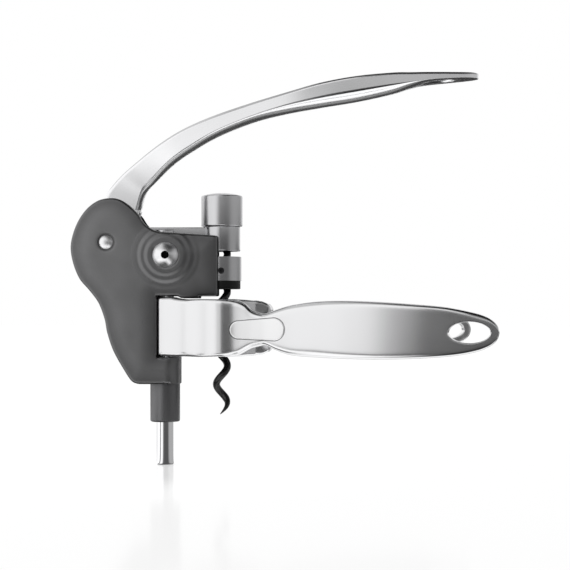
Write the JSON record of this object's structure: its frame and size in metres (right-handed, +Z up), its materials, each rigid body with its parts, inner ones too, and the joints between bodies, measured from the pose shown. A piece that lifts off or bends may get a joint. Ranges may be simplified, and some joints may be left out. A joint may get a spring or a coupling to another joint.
{
  "type": "horizontal lever corkscrew",
  "caption": "Lever corkscrew with curved top lever, gear and rack drive, guide rod, black worm, and two hinged grip handles whose jaws clamp a bottle neck.",
  "frame": {"origin": "on the worm's axis at mid height of the neck jaws, on the mirror plane; mm in the source, metres in the row", "axes": "+Z up along the worm and the guide rod, +X towards the handle and lever tips, -Y the near side of the picture"},
  "size_m": [0.1993, 0.1102, 0.1893],
  "materials": {
    "gunmetal": "satin dark grey metallic lacquer",
    "bronze": "sintered bushing, satin",
    "chrome": "polished",
    "plain_steel": "turned, satin",
    "gear_steel": "sintered, satin",
    "black_steel": "blackened",
    "satin_alloy": "satin",
    "brushed_knob": "turned and brushed round the axis",
    "black_plastic": "matte",
    "silver_lever": "satin, pearl silver",
    "silver_handle": "satin, pearl silver",
    "black_coating": "smooth non-stick coating, satin",
    "rubber_liner": "matte",
    "inlay_silver": "satin, slightly brighter than the handle"
  },
  "bodies": {
    "frame": {"near_housing": "gunmetal", "far_housing": "gunmetal", "upper_guide_bush": "bronze", "lower_guide_bush": "bronze", "rod_sleeve": "gunmetal", "near_cap_screw": "chrome", "far_cap_screw": "chrome", "lever_pivot_pin": "chrome", "pivot_washers": "plain_steel", "near_hinge_pin": "plain_steel", "far_hinge_pin": "plain_steel", "guide_nut": "satin_alloy", "nut_insert": "black_plastic", "stop_ring": "black_plastic", "nut_set_screw": "black_steel"},
    "lever": {"lever_arm": "silver_lever", "gear_sector": "gear_steel", "sector_pins": "plain_steel"},
    "carriage": {"carriage_arm": "satin_alloy", "rack_bar": "gear_steel", "rack_screws": "black_steel", "guide_rod": "chrome", "spindle_bush": "bronze", "top_knob": "brushed_knob"},
    "worm_unit": {"worm_spindle": "plain_steel", "worm": "black_coating", "spindle_ring": "black_steel"},
    "near_handle_unit": {"near_handle": "silver_handle", "near_jaw_liner": "rubber_liner", "near_inlay": "inlay_silver"},
    "far_handle_unit": {"far_handle": "silver_handle", "far_jaw_liner": "rubber_liner", "far_inlay": "inlay_silver"}
  },
  "joints": [
    {"name": "lever_swing", "type": "hinge", "parent": "frame", "child": "lever", "pos_m": [-0.055, 0, 0.0411], "axis": [0, -1, 0], "range_deg": [0, 190]},
    {"name": "carriage_slide", "type": "slide", "parent": "frame", "child": "carriage", "axis": [0, 0, 1], "range_m": [0, 0.05175]},
    {"name": "worm_spin", "type": "hinge", "parent": "carriage", "child": "worm_unit", "pos_m": [0, 0, 0.045], "axis": [0, 0, 1], "range_deg": [0, 1035.1]},
    {"name": "near_handle_swing", "type": "hinge", "parent": "frame", "child": "near_handle_unit", "pos_m": [-0.026, -0.0088, 0], "axis": [0, 0, -1], "range_deg": [-13, 22]},
    {"name": "far_handle_swing", "type": "hinge", "parent": "frame", "child": "far_handle_unit", "pos_m": [-0.026, 0.0088, 0], "axis": [0, 0, 1], "range_deg": [-13, 22]}
  ],
  "couplings": [
    {"joint": "carriage_slide", "follows": "lever_swing", "m_per_rad": 0.0156},
    {"joint": "worm_spin", "follows": "lever_swing", "ratio": 5.4454}
  ]
}
